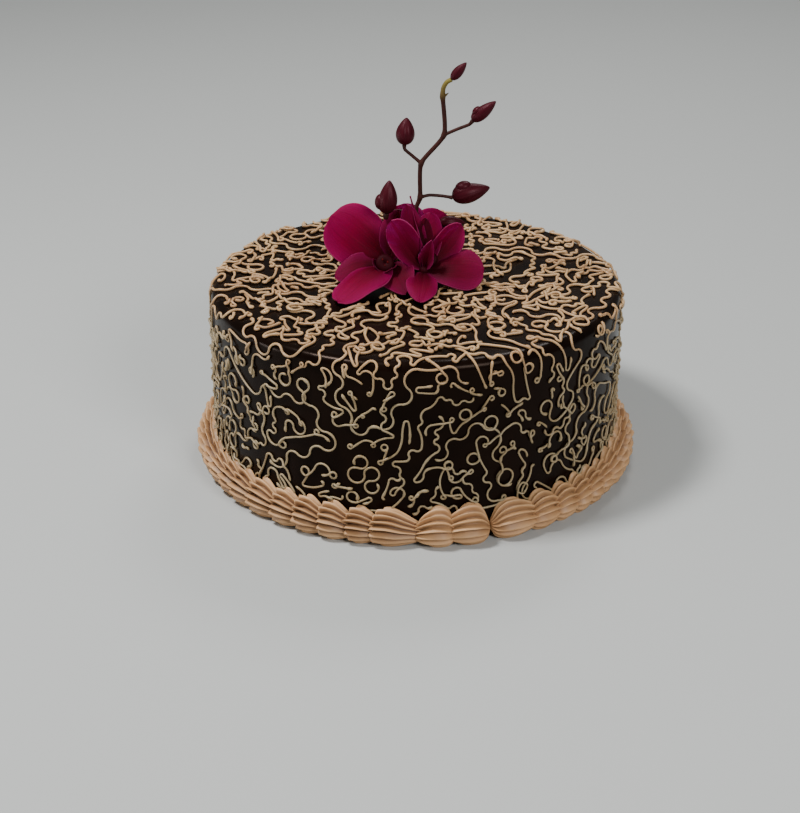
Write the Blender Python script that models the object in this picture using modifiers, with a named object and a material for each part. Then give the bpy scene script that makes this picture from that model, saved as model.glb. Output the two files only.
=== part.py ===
"""A round layer cake under dark chocolate glaze, standing on its flat base.

Tan buttercream is piped over the glaze as a curling string, and round the foot as a
row of ridged shells. A short spray of deep magenta orchids, three open flowers and six
buds on one stem, is pushed into the top. The origin is the centre of the base, +Z is
up and the front of the cake looks along -Y. Lengths are in metres.
"""

import math
import random

import bmesh
import bpy
import numpy as np
from mathutils import Vector

MM = 0.001
UP = Vector((0.0, 0.0, 1.0))

# Cake body
CAKE_RADIUS = 105.0 * MM
CAKE_HEIGHT = 94.0 * MM
EDGE_ROUND = 5.0 * MM  # radius of the glazed rim between the top and the side
EDGE_ARC_STEPS = 3
BODY_STEPS = 56

# Shell border
# Where the shells seen from the front begin, in degrees to the right of the front.
FRONT_SHELLS = (
    *(-59.0, -52.5, -45.0, -37.0, -29.7, -22.5, -15.3, -7.8, 2.4),
    *(10.2, 19.2, 29.6, 37.5, 44.4, 50.0, 55.8, 61.4),
)
BACK_SHELLS = 36
SHELL_REACH = 11.0 * MM  # how far a shell's head stands out from the side of the cake
SHELL_HEIGHT = 20.0 * MM
SHELL_TAIL = 0.62  # size of the tail beside the head
TURNED_SHELLS = range(10, 34)  # piped the other way round, with their heads at the right
BORDER_GAP = 0.3 * MM  # clearance between the border and the cake

# String piping
STRING_WIDTH = 2.2 * MM  # at the glaze
STRING_RISE = 1.6 * MM  # crest above the glaze
STRING_SINK = 0.5 * MM  # how deep its flat side lies in the glaze
STRING_STEP = 1.0 * MM  # step along a string while it is laid
STRING_SPACING = 13.0 * MM  # how far a string keeps from the others
STRING_LENGTH = (90.0 * MM, 220.0 * MM)
SHORTEST_STRING = 28.0 * MM
MOST_CROWDING = 0.9  # a string ends where its next move would be closer to others
STRING_SLACK = 0.85 * MM  # most that a straight piece may leave the curl it stands for
STRING_POINTS = 800  # corner points over the whole cake
MOST_STRINGS = 120
STRING_FOOT = SHELL_HEIGHT + 3.5 * MM  # the lowest that a string's middle goes
LACE_SEED = 8

# Orchid spray
PETAL_THICKNESS = 1.0 * MM
COLUMN_RADIUS = 3.2 * MM
STEM_RADIUS = 1.25 * MM
PEDICEL_RADIUS = 0.9 * MM
JOINT_GAP = 0.35 * MM  # between a stalk's end and its flower or bud
STEM_DEPTH = 24.0 * MM  # how deep the stem is pushed into the cake
POCKET_GAP = 0.35 * MM

# Places where petals or the stem lie low over the top, as (start x, start y, end x,
# end y, radius) in mm: no string is laid there.
LOW_PLACES = (
    (-14.0, -12.0, -37.0, -36.0, 12.0),
    (-8.0, -10.0, -4.0, -26.0, 8.0),
    (3.0, -12.0, 4.0, -34.0, 9.0),
    (10.0, -6.0, 26.0, -17.0, 9.0),
    (-14.0, 0.0, -40.0, -10.0, 8.0),
    (0.0, 4.0, 0.0, 22.0, 16.0),
)


def clear_scene():
    for thing in list(bpy.data.objects):
        bpy.data.objects.remove(thing, do_unlink=True)


def collection(name):
    made = bpy.data.collections.new(name)
    bpy.context.scene.collection.children.link(made)
    return made


def finish(name, colour, roughness):
    """A plain Principled material."""
    made = bpy.data.materials.new(name)
    made.use_nodes = True
    shader = made.node_tree.nodes["Principled BSDF"]
    shader.inputs["Base Color"].default_value = (*colour, 1.0)
    shader.inputs["Roughness"].default_value = roughness
    shader.inputs["Metallic"].default_value = 0.0
    return made


def add_mesh(name, shape, target, look, smooth=40.0):
    """Makes an object of a bmesh, shaded smooth up to the given angle in degrees."""
    mesh = bpy.data.meshes.new(name)
    shape.to_mesh(mesh)
    shape.free()
    mesh.shade_smooth()
    mesh.set_sharp_from_angle(angle=math.radians(smooth))
    mesh.materials.append(look)
    thing = bpy.data.objects.new(name, mesh)
    target.objects.link(thing)
    return thing


def settle(thing, smooth=40.0):
    """Replaces an object's data by its evaluated mesh, so its modifiers are applied."""
    bpy.context.view_layer.update()
    graph = bpy.context.evaluated_depsgraph_get()
    mesh = bpy.data.meshes.new_from_object(thing.evaluated_get(graph))
    mesh.transform(thing.matrix_world)
    thing.modifiers.clear()
    thing.matrix_world.identity()
    thing.data = mesh
    mesh.shade_smooth()
    mesh.set_sharp_from_angle(angle=math.radians(smooth))
    return thing


def keep_outer_body(thing):
    """Fills a hollow that joining has sealed and drops a loose scrap."""
    shape = bmesh.new()
    shape.from_mesh(thing.data)
    unseen = set(shape.verts)
    bodies = []
    while unseen:
        body = [unseen.pop()]
        for vert in body:
            linked = {edge.other_vert(vert) for edge in vert.link_edges} & unseen
            unseen -= linked
            body.extend(linked)
        bodies.append(body)
    bodies.sort(key=len)
    spare = [vert for body in bodies[:-1] for vert in body]
    bmesh.ops.delete(shape, geom=spare, context="VERTS")
    shape.to_mesh(thing.data)
    shape.free()


def boolean(thing, other, operation):
    """Joins a collection to an object, or cuts it out, and removes the collection."""
    cut = thing.modifiers.new(operation.title(), "BOOLEAN")
    cut.operation = operation
    cut.operand_type = "COLLECTION"
    cut.collection = other
    cut.solver = "EXACT"
    cut.use_self = True
    cut.material_mode = "TRANSFER"
    settle(thing)
    keep_outer_body(thing)
    for tool in list(other.objects):
        bpy.data.objects.remove(tool, do_unlink=True)
    bpy.data.collections.remove(other)
    return thing


def glaze_at(place):
    """The point of the glaze nearest to a place, and the way it faces there."""
    reach = math.hypot(place.x, place.y)
    out = Vector((place.x, place.y, 0.0)) / max(reach, 1e-9)
    flat_radius = CAKE_RADIUS - EDGE_ROUND
    rim_height = CAKE_HEIGHT - EDGE_ROUND
    if place.z <= rim_height:
        return out * CAKE_RADIUS + UP * place.z, out
    if reach <= flat_radius:
        return Vector((place.x, place.y, CAKE_HEIGHT)), UP.copy()
    middle = out * flat_radius + UP * rim_height
    facing = (place - middle).normalized()
    return middle + facing * EDGE_ROUND, facing


def gesture(rng):
    """One move of the piping hand, as arcs of (length, turn in radians)."""
    side = rng.choice((-1, 1))
    kind = rng.random()
    if kind < 0.26:
        return [(rng.uniform(7.0, 14.0) * MM, side * math.radians(rng.uniform(0, 40)))]
    if kind < 0.64:
        turn = math.radians(rng.uniform(60, 160))
        return [(turn * rng.uniform(3.6, 6.8) * MM, side * turn)]
    if kind < 0.84:
        radius = rng.uniform(3.6, 4.8) * MM
        turns = [math.radians(rng.uniform(100, 150)) for _ in range(rng.randint(2, 3))]
        return [(turn * radius, side * (-1) ** i * turn) for i, turn in enumerate(turns)]
    turn = math.radians(rng.uniform(280, 330))
    return [(turn * rng.uniform(3.2, 4.2) * MM, side * turn)]


def trace(place, heading, arcs):
    """Follows arcs over the glaze from a place, and returns the points and last heading."""
    points = []
    for length, turn in arcs:
        steps = max(2, round(length / STRING_STEP))
        bend = turn / steps
        for _ in range(steps):
            _, facing = glaze_at(place)
            heading = heading * math.cos(bend) + facing.cross(heading) * math.sin(bend)
            place, facing = glaze_at(place + heading * (length / steps))
            heading = (heading - facing * heading.dot(facing)).normalized()
            points.append(place)
    return points, heading


def low_place_cost(points):
    """How far points run below the border's top or into a place kept clear."""
    cost = np.clip(STRING_FOOT - points[:, 2], 0.0, None).sum() / MM
    on_top = points[points[:, 2] > CAKE_HEIGHT - 0.5 * MM]
    for x0, y0, x1, y1, radius in LOW_PLACES:
        start = np.array((x0, y0)) * MM
        way = np.array((x1, y1)) * MM - start
        along = np.clip((on_top[:, :2] - start) @ way / (way @ way), 0.0, 1.0)
        gap = np.linalg.norm(on_top[:, :2] - start - along[:, None] * way, axis=1)
        cost += np.clip(radius * MM - gap, 0.0, None).sum() / MM
    return cost


def crowding(points, laid):
    """How close points come to the strings that are laid already."""
    if not len(laid):
        return 0.0
    gaps = np.linalg.norm(points[:, None, :] - laid[None, :, :], axis=2)
    reach = 0.5 * STRING_SPACING
    return float(np.exp(-((gaps / reach) ** 2)).sum(axis=1).mean() * STRING_STEP / reach)


def random_place(rng):
    """A random point of the glaze, above the border."""
    side_area = 2 * CAKE_RADIUS * (CAKE_HEIGHT - STRING_FOOT)
    turn = rng.uniform(0, 2 * math.pi)
    if rng.random() * (side_area + CAKE_RADIUS**2) < side_area:
        reach = CAKE_RADIUS
        height = rng.uniform(STRING_FOOT, CAKE_HEIGHT - EDGE_ROUND)
    else:
        reach = CAKE_RADIUS * math.sqrt(rng.random())
        height = CAKE_HEIGHT
    return glaze_at(Vector((reach * math.cos(turn), reach * math.sin(turn), height)))


def lay_string(rng, laid):
    """One string, from the emptiest of many places until it has run its length."""
    starts = [random_place(rng) for _ in range(90)]
    scores = []
    for place, _ in starts:
        spot = np.array([place])
        scores.append(crowding(spot, laid) + low_place_cost(spot))
    place, facing = starts[scores.index(min(scores))]
    heading = facing.orthogonal().normalized()
    spin = rng.uniform(0, 2 * math.pi)
    heading = heading * math.cos(spin) + facing.cross(heading) * math.sin(spin)
    points = [place]
    length = rng.uniform(*STRING_LENGTH)
    while len(points) * STRING_STEP < length:
        tries = []
        own = np.array(points[:-16]).reshape(-1, 3)
        others = np.concatenate([laid, own])
        for _ in range(9):
            more, turned = trace(points[-1], heading, gesture(rng))
            spots = np.array(more[1::2])
            tries.append((crowding(spots, others) + low_place_cost(spots), more, turned))
        cost, more, heading = min(tries, key=lambda t: t[0])
        if cost > MOST_CROWDING:
            break
        points += more
    return points if len(points) * STRING_STEP > SHORTEST_STRING else []


def straightened(points):
    """The corners that keep a polyline within STRING_SLACK of its points."""
    ends = points[-1] - points[0]
    worst, at = 0.0, None
    for i in range(1, len(points) - 1):
        arm = points[i] - points[0]
        along = 0.0
        if ends.length_squared > 1e-12:
            along = min(1.0, max(0.0, arm.dot(ends) / ends.length_squared))
        gap = (arm - ends * along).length
        if gap > worst:
            worst, at = gap, i
    if worst <= STRING_SLACK:
        return [points[0], points[-1]]
    return straightened(points[: at + 1])[:-1] + straightened(points[at:])


def string_mesh(shape, points):
    """Sweeps a low tent, flat side down, along the corners of one string."""
    rings = []
    for i, place in enumerate(points):
        before = (place - points[max(i - 1, 0)]).normalized()
        after = (points[min(i + 1, len(points) - 1)] - place).normalized()
        along = (before + after).normalized()
        _, facing = glaze_at(place)
        across = along.cross(facing).normalized()
        half_turn = 0.5 * before.angle(after) if 0 < i < len(points) - 1 else 0.0
        reach = across * (0.5 * STRING_WIDTH * min(1.5, 1.0 / math.cos(half_turn)))
        base = place - facing * STRING_SINK
        corners = (base + reach, place + facing * STRING_RISE, base - reach)
        rings.append([shape.verts.new(corner) for corner in corners])
    for one, two in zip(rings, rings[1:]):
        for k in range(3):
            shape.faces.new((one[k - 1], one[k], two[k], two[k - 1]))
    shape.faces.new(rings[0])
    shape.faces.new(reversed(rings[-1]))


def piped_strings():
    """A mesh of every string, until the cake's share of corner points is used."""
    rng = random.Random(LACE_SEED)
    laid = np.empty((0, 3))
    shape = bmesh.new()
    count = 0
    for _ in range(MOST_STRINGS):
        if count >= STRING_POINTS:
            break
        points = lay_string(rng, laid)
        if not points:
            continue
        laid = np.concatenate([laid, np.array(points)])
        corners = straightened(points)
        string_mesh(shape, corners)
        count += len(corners)
    bmesh.ops.recalc_face_normals(shape, faces=shape.faces)
    return shape


def cake_body(target, look):
    """The glazed cake: half its outline turned about the axis."""
    shape = bmesh.new()
    rim = Vector((CAKE_RADIUS - EDGE_ROUND, 0.0, CAKE_HEIGHT - EDGE_ROUND))
    outline = [Vector((0.0, 0.0, CAKE_HEIGHT))]
    for i in range(EDGE_ARC_STEPS + 1):
        turn = math.radians(90.0 * (1 - i / EDGE_ARC_STEPS))
        outline.append(rim + EDGE_ROUND * Vector((math.cos(turn), 0.0, math.sin(turn))))
    outline += [Vector((CAKE_RADIUS, 0.0, 0.0)), Vector((0.0, 0.0, 0.0))]
    corners = [shape.verts.new(place) for place in outline]
    for one, two in zip(corners, corners[1:]):
        shape.edges.new((one, two))
    body = add_mesh("cake", shape, target, look)
    turned = body.modifiers.new("Turned", "SCREW")
    turned.steps = BODY_STEPS
    turned.render_steps = BODY_STEPS
    turned.use_merge_vertices = True
    turned.merge_threshold = 0.01 * MM
    flat = body.modifiers.new("Flat top and base", "DECIMATE")
    flat.decimate_type = "DISSOLVE"
    flat.angle_limit = math.radians(1.0)
    return settle(body)


def glazed_cake(target, look, string_look):
    """The body with its strings joined on and a pocket for the stem."""
    body = cake_body(target, look)
    tools = collection("strings to join")
    add_mesh("strings", piped_strings(), tools, string_look)
    boolean(body, tools, "UNION")
    cutters = collection("cutters")
    shape = bmesh.new()
    bmesh.ops.create_cone(
        shape,
        cap_ends=True,
        segments=12,
        radius1=STEM_RADIUS + POCKET_GAP,
        radius2=STEM_RADIUS + POCKET_GAP,
        depth=2 * STEM_DEPTH + 2 * POCKET_GAP,
    )
    pocket = add_mesh("pocket", shape, cutters, look)
    pocket.location = (STEM_FOOT.x, STEM_FOOT.y, CAKE_HEIGHT)
    pocket.hide_render = True
    pocket.display_type = "WIRE"
    return boolean(body, cutters, "DIFFERENCE")


def shell_profile(size):
    """One cut through the border, as (distance out from the side, height) points.

    It runs from the foot of the cake out under the shell, over its ridges and back to
    the side of the cake.
    """
    middle_out = 0.16 * SHELL_REACH
    middle_up = 0.46 * SHELL_HEIGHT * size
    points = [(0.0, 0.0)]
    turns = 8
    for i in range(turns):
        turn = math.radians(-54.0 + 150.0 * i / (turns - 1))
        ridge = 1.0 if i % 2 == 0 else 0.84
        out = middle_out + (SHELL_REACH * size - middle_out) * ridge * math.cos(turn)
        up = middle_up + 0.54 * SHELL_HEIGHT * size * ridge * math.sin(turn)
        points.append((max(out, 0.3 * MM), max(up, 0.0)))
    points.append((0.0, points[-1][1] - 0.6 * MM))
    return points


def shell_starts():
    """The turn at which each shell begins, in radians, and a last one for the end."""
    last, full = FRONT_SHELLS[-1], FRONT_SHELLS[0] + 360.0
    turns = list(FRONT_SHELLS)
    for i in range(BACK_SHELLS):
        turns.append(last + (full - last) * (i + 1) / BACK_SHELLS)
    return [math.radians(turn - 90.0) for turn in turns]


def shell_border(target, look):
    """A ring of shells, counted to the right from the first in FRONT_SHELLS.

    Each starts with a fat head and narrows to a tail, at its right or at its left.
    """
    rng = random.Random(11)
    shape = bmesh.new()
    stations = ((0.0, SHELL_TAIL), (0.14, 0.97), (0.52, 0.92))
    turned = ((0.0, SHELL_TAIL), (0.48, 0.92), (0.86, 0.97))
    inner = CAKE_RADIUS + BORDER_GAP
    starts = shell_starts()
    rings = []
    for shell, (start, end) in enumerate(zip(starts, starts[1:])):
        size = rng.uniform(0.95, 1.04)
        hand = -1 if shell in TURNED_SHELLS else 1
        for part, share in turned if hand < 0 else stations:
            profile = shell_profile(share * size)
            ring = []
            for i, (out, up) in enumerate(profile):
                lean = 0.1 * hand * math.sin(math.pi * i / (len(profile) - 1)) * (part > 0)
                turn = start + (end - start) * (part - lean)
                reach = inner + out
                place = (reach * math.cos(turn), reach * math.sin(turn), up)
                ring.append(shape.verts.new(place))
            rings.append(ring)
    for one, two in zip(rings, rings[1:] + rings[:1]):
        for k in range(len(one)):
            shape.faces.new((one[k - 1], two[k - 1], two[k], one[k]))
    bmesh.ops.recalc_face_normals(shape, faces=shape.faces)
    return add_mesh("shell_border", shape, target, look, smooth=30.0)


def petal(target, look, base, row):
    """One petal: a grid bent to its outline and cup, then given a thickness.

    A row holds the petal's tip and width in mm, the way its inner face looks, how far
    along it is widest, its cup, its arch, its fold along the middle, and its grid.
    """
    tip, width, facing, widest, cup, arch, fold, rows, columns = row
    base, tip, facing = Vector(base) * MM, Vector(tip) * MM, Vector(facing)
    length = (tip - base).length
    along = (tip - base).normalized()
    across = along.cross(facing).normalized()
    facing = across.cross(along)
    shape = bmesh.new()
    bmesh.ops.create_grid(shape, x_segments=rows, y_segments=columns, size=0.5)
    for vert in shape.verts:
        t = vert.co.x + 0.5
        v = 2.0 * vert.co.y
        u = max(t, 0.0) ** (math.log(0.5) / math.log(widest))
        blade = 0.5 * width * math.sqrt(max(0.0, 1.0 - abs(2 * u - 1) ** 2.3))
        half = max(blade, 1.5 * (1 - t) + 0.6 * t) * MM
        rise = arch * length * math.sin(math.pi * t) + cup * half * v * v
        rise += fold * half * abs(v)
        vert.co = base + along * (length * t) + across * (half * v) + facing * rise
    bmesh.ops.triangulate(shape, faces=shape.faces)
    leaf = add_mesh("petal", shape, target, look)
    solid = leaf.modifiers.new("Thickness", "SOLIDIFY")
    solid.thickness = PETAL_THICKNESS
    solid.offset = 0.0
    return leaf


# Flowers: the centre in mm, then the petals and last the lip as petal()'s rows. The
# right one has its eight petals because the tops of two more flowers show through it.
FLOWERS = {
    "orchid_left": (
        (-13.5, -3.0, 104.0),
        ((-43.5, 8.0, 125.5), 31.0, (-0.2, -0.9, 0.35), 0.60, -0.12, 0.02, 0.0, 5, 4),
        ((-8.5, 3.0, 130.5), 13.5, (-0.1, -1.0, 0.3), 0.58, -0.15, 0.03, 0.0, 4, 2),
        ((-41.0, -10.0, 99.0), 18.0, (-0.2, -0.6, 0.8), 0.55, 0.12, 0.04, 0.0, 4, 2),
        ((-39.0, -37.5, 97.4), 21.0, (-0.2, -0.25, 0.95), 0.55, -0.25, 0.08, 0.0, 5, 4),
        ((-5.0, -26.0, 96.9), 14.0, (0.1, -0.5, 0.85), 0.50, 0.1, 0.05, 0.0, 4, 2),
        ((-17.5, -15.5, 103.5), 13.0, (0.0, -0.2, 1.0), 0.55, 0.7, -0.04, 0.0, 4, 2),
    ),
    "orchid_right": (
        (4.0, -10.5, 103.0),
        ((-12.5, -14.0, 131.0), 13.5, (0.2, -0.9, 0.1), 0.56, 0.1, -0.04, 0.0, 5, 2),
        ((1.5, -37.0, 97.0), 16.0, (0.1, -0.5, 0.85), 0.55, -0.15, 0.08, 0.0, 4, 2),
        ((34.5, -9.5, 104.0), 24.0, (0.0, -0.55, 0.8), 0.62, 0.0, 0.08, -0.2, 4, 4),
        ((23.0, 3.0, 123.0), 16.5, (0.5, -0.8, 0.2), 0.58, 0.3, 0.0, 0.0, 4, 4),
        ((-3.0, 0.0, 139.0), 8.0, (0.95, -0.3, 0.1), 0.45, 0.3, 0.02, 0.0, 4, 2),
        ((-5.0, -4.0, 136.0), 12.0, (0.1, -0.95, 0.2), 0.60, 0.1, -0.03, 0.0, 4, 2),
        ((7.5, 1.0, 130.0), 15.0, (0.05, -0.95, 0.25), 0.60, 0.1, -0.03, 0.0, 4, 2),
        ((4.6, -4.5, 129.0), 9.0, (0.0, -0.95, 0.3), 0.55, 0.4, 0.0, 0.0, 4, 2),
        ((8.0, -12.5, 120.0), 8.0, (-0.2, -0.8, 0.4), 0.50, 0.5, 0.0, 0.0, 4, 2),
    ),
    "orchid_back": (
        (2.0, 20.5, 105.5),
        ((-10.0, 17.0, 127.5), 20.0, (-0.1, 0.9, 0.3), 0.60, 0.15, 0.02, 0.0, 4, 2),
        ((15.0, 21.0, 122.5), 20.0, (0.2, 0.9, 0.3), 0.60, 0.15, 0.02, 0.0, 4, 2),
        ((-20.0, 33.0, 99.5), 17.0, (-0.2, 0.4, 0.9), 0.55, 0.1, 0.06, 0.0, 4, 2),
        ((1.0, 44.0, 98.5), 16.0, (0.0, 0.4, 0.9), 0.55, 0.1, 0.06, 0.0, 4, 2),
        ((24.0, 33.0, 99.5), 17.0, (0.2, 0.4, 0.9), 0.55, 0.1, 0.06, 0.0, 4, 2),
        ((3.0, 32.0, 108.0), 12.0, (0.0, 0.2, 1.0), 0.55, 0.7, -0.04, 0.0, 4, 2),
    ),
}


def orchid(target, look, name, flower):
    """Petals and a lip joined at a round column."""
    centre = Vector(flower[0])
    shape = bmesh.new()
    bmesh.ops.create_uvsphere(shape, u_segments=8, v_segments=5, radius=COLUMN_RADIUS)
    bmesh.ops.translate(shape, verts=shape.verts, vec=centre * MM)
    column = add_mesh(name, shape, target, look)
    tools = collection("petals of " + name)
    for row in flower[1:]:
        base = centre + (Vector(row[0]) - centre).normalized() * 1.2
        petal(tools, look, base, row)
    return boolean(column, tools, "UNION")


STEM_FOOT = Vector((0.0, 6.0, 0.0)) * MM

# The stem's route above the cake in mm.
STEM = (
    (0.0, 6.0, 94.0),
    (-0.2, 6.0, 128.0),
    (2.1, 6.0, 136.2),
    (2.6, 6.0, 154.1),
    (13.9, 6.0, 168.9),
    (13.0, 6.0, 188.5),
    (13.4, 6.0, 193.0),
    (15.0, 5.5, 195.9),
    (17.2, 5.0, 197.3),
)

# Buds: the stem's corner that its stalk leaves from, the stalk's bends, the bud's base
# and tip and width in mm, and the side that its spur is on.
BUDS = {
    "bud_top": (None, (), (17.2, 5.0, 197.3), (24.4, 4.0, 206.1), 5.8, None),
    "bud_upper_right": (
        4,
        ((20.7, 4.5, 172.4), (26.2, 3.0, 175.1)),
        (27.8, 2.5, 177.1),
        (39.0, 0.0, 187.8),
        7.4,
        (-1.0, 0.0, 0.5),
    ),
    "bud_upper_left": (
        3,
        ((-2.3, 7.5, 157.9), (-5.6, 8.5, 160.5)),
        (-5.9, 9.0, 162.7),
        (-4.7, 10.0, 176.5),
        11.0,
        None,
    ),
    "bud_right": (
        2,
        ((7.0, 8.0, 136.6), (13.5, 9.0, 135.8)),
        (18.5, 10.0, 134.6),
        (37.6, 12.0, 139.3),
        11.6,
        (-0.3, 0.0, 1.0),
    ),
    "bud_left": (
        1,
        ((-9.0, 7.5, 128.4), (-15.4, 5.5, 128.2), (-15.7, 0.0, 127.4), (-14.7, -2.1, 128.2)),
        (-14.6, -2.0, 130.4),
        (-13.3, -1.0, 147.5),
        12.2,
        (-1.0, 0.0, 0.2),
    ),
    "bud_low": (
        1,
        ((6.0, 9.0, 119.0),),
        (12.0, 12.5, 120.5),
        (25.2, 14.5, 119.6),
        7.6,
        None,
    ),
}


def tube(route, radius, target, look):
    """A round stalk along points in mm, made a closed mesh."""
    curve = bpy.data.curves.new("stalk", "CURVE")
    curve.dimensions = "3D"
    curve.bevel_depth = radius
    curve.bevel_resolution = 1
    curve.use_fill_caps = True
    spline = curve.splines.new("POLY")
    spline.points.add(len(route) - 1)
    for point, place in zip(spline.points, route):
        point.co = (*(Vector(place) * MM), 1.0)
    guide = bpy.data.objects.new("stalk guide", curve)
    target.objects.link(guide)
    bpy.context.view_layer.update()
    graph = bpy.context.evaluated_depsgraph_get()
    mesh = bpy.data.meshes.new_from_object(guide.evaluated_get(graph))
    shape = bmesh.new()
    shape.from_mesh(mesh)
    bmesh.ops.remove_doubles(shape, verts=shape.verts, dist=0.001 * MM)
    bpy.data.objects.remove(guide, do_unlink=True)
    return add_mesh("stalk", shape, target, look)


def spray_stem(target, look):
    """The stem with the stalks of its buds joined on."""
    foot = (STEM[0][0], STEM[0][1], STEM[0][2] - STEM_DEPTH / MM)
    stem = tube((foot, *STEM), STEM_RADIUS, target, look)
    stem.name = "spray_stem"
    tools = collection("stalks")
    for flower in FLOWERS.values():
        centre = Vector(flower[0])
        start = Vector((0.0, STEM_FOOT.y / MM, 0.6 * centre.z + 0.4 * CAKE_HEIGHT / MM))
        out = (start - centre).normalized() * (COLUMN_RADIUS + JOINT_GAP) / MM
        tube((start, centre + out), PEDICEL_RADIUS, tools, look)
    for leaves, bends, base, _, _, _ in BUDS.values():
        if leaves is not None:
            tube((STEM[leaves], *bends, base), PEDICEL_RADIUS, tools, look)
    return boolean(stem, tools, "UNION")


def bud(target, look, base, tip, width, spur):
    """A closed bud: a ball drawn out to a point, with a spur low on one side."""
    base, tip = Vector(base) * MM, Vector(tip) * MM
    along = (tip - base).normalized()
    base += along * JOINT_GAP
    length = (tip - base).length
    shape = bmesh.new()
    bmesh.ops.create_uvsphere(shape, u_segments=8, v_segments=6, radius=1.0)
    side = along.orthogonal().normalized()
    if spur:
        side = (Vector(spur) - along * Vector(spur).dot(along)).normalized()
    other = along.cross(side)
    for vert in shape.verts:
        t = 0.5 * (vert.co.z + 1.0)
        turn = math.atan2(vert.co.y, vert.co.x)
        ring = math.hypot(vert.co.x, vert.co.y)
        girth = 0.5 * width * MM * ring * (1.0 - 0.22 * t) * (1.0 - 0.45 * t**3)
        if spur:
            girth *= 1.0 + 0.75 * max(0.0, math.cos(turn)) ** 3 * max(0.0, 1.0 - 2.2 * t)
        vert.co = base + along * (length * t)
        vert.co += (side * math.cos(turn) + other * math.sin(turn)) * girth
    return add_mesh("bud", shape, target, look)


def build():
    clear_scene()
    cake = collection("Orchid cake")
    glaze = finish("chocolate_glaze", (0.021, 0.012, 0.010), 0.25)
    cream = finish("tan_buttercream", (0.62, 0.43, 0.29), 0.6)
    magenta = finish("orchid_petal", (0.33, 0.006, 0.08), 0.55)
    dark = finish("orchid_bud", (0.14, 0.018, 0.035), 0.5)
    bark = finish("orchid_stem", (0.06, 0.018, 0.015), 0.55)
    glazed_cake(cake, glaze, cream)
    shell_border(cake, cream)
    for name, flower in FLOWERS.items():
        orchid(cake, magenta, name, flower)
    spray_stem(cake, bark)
    for name, (_, _, base, tip, width, spur) in BUDS.items():
        bud(cake, dark, base, tip, width, spur).name = name


build()
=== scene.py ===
"""The orchid cake as it looks: chocolate glaze, piped buttercream and fresh flowers.

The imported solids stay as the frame, and each is replaced by a piece with the form and
the finish of the real one. Lengths are in metres, +Z is up and the front looks along -Y.
"""

import math
import random

import bmesh
import bpy
import numpy as np
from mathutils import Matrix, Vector, noise


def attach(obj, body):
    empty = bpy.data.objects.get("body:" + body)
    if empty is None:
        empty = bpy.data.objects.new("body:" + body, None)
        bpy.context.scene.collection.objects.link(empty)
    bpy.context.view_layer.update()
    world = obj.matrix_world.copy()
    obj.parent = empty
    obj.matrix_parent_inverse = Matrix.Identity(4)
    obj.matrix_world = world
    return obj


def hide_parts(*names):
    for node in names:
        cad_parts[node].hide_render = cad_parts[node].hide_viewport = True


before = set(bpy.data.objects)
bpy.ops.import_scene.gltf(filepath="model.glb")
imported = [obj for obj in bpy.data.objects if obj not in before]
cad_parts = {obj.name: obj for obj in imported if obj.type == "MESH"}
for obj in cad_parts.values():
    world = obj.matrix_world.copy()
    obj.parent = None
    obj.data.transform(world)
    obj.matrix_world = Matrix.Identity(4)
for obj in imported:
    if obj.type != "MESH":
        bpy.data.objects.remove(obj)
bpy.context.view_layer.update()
MM = 0.001


# The table, the light and the camera
# The cake stands on a grey matt table under four soft lamps, the strongest one above it
# to the left, and is seen from the front, looking down on its top by 26 degrees.

floor_shape = bmesh.new()
bmesh.ops.create_grid(floor_shape, x_segments=1, y_segments=1, size=6.0)
floor_mesh = bpy.data.meshes.new("table_top")
floor_shape.to_mesh(floor_mesh)
floor_shape.free()
table_top = bpy.data.objects.new("table_top", floor_mesh)
bpy.context.scene.collection.objects.link(table_top)
table_finish = bpy.data.materials.new("grey table")
table_finish.use_nodes = True
table_shader = table_finish.node_tree.nodes["Principled BSDF"]
table_shader.inputs["Base Color"].default_value = (0.44, 0.45, 0.44, 1)
table_shader.inputs["Roughness"].default_value = 0.7
floor_mesh.materials.append(table_finish)

world = bpy.data.worlds.new("soft room")
world.use_nodes = True
world.node_tree.nodes["Background"].inputs["Color"].default_value = (0.93, 0.96, 0.94, 1)
world.node_tree.nodes["Background"].inputs["Strength"].default_value = 0.16
bpy.context.scene.world = world

for lamp_name, lamp_place, lamp_power, lamp_size in (
    ("key lamp", (-0.6, -0.15, 1.25), 22.0, 0.25),
    ("fill lamp", (0.6, -1.0, 0.8), 11.8, 0.45),
    ("back lamp", (0.3, 0.9, 1.1), 6.0, 0.4),
    ("low lamp", (-1.0, -0.15, 0.1), 2.2, 0.2),
):
    lamp = bpy.data.lights.new(lamp_name, "AREA")
    lamp.energy = lamp_power
    lamp.size = lamp_size
    lamp_object = bpy.data.objects.new(lamp_name, lamp)
    lamp_object.location = lamp_place
    aim = Vector((0.0, 0.0, 0.07)) - Vector(lamp_place)
    lamp_object.rotation_euler = aim.to_track_quat("-Z", "Y").to_euler()
    bpy.context.scene.collection.objects.link(lamp_object)

view = bpy.data.cameras.new("front view")
view.sensor_fit = "HORIZONTAL"
view.sensor_width = 36.0
view.lens = 81.87
camera = bpy.data.objects.new("front view", view)
camera.location = (-0.008044, -0.867795, 0.442992)
camera.rotation_euler = (math.radians(64.09), 0.0, 0.0)
bpy.context.scene.collection.objects.link(camera)
bpy.context.scene.camera = camera


# Chocolate glaze
# The layers are hidden under one pour of near-black chocolate, which sets to a smooth
# shining coat with a rounded rim and a slight unevenness from the icing below it.

CAKE_RADIUS = 105.0 * MM
CAKE_HEIGHT = 94.0 * MM
EDGE_ROUND = 5.0 * MM
UP = Vector((0.0, 0.0, 1.0))


def set_inputs(node, values):
    for key, value in values.items():
        node.inputs[key].default_value = value


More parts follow.
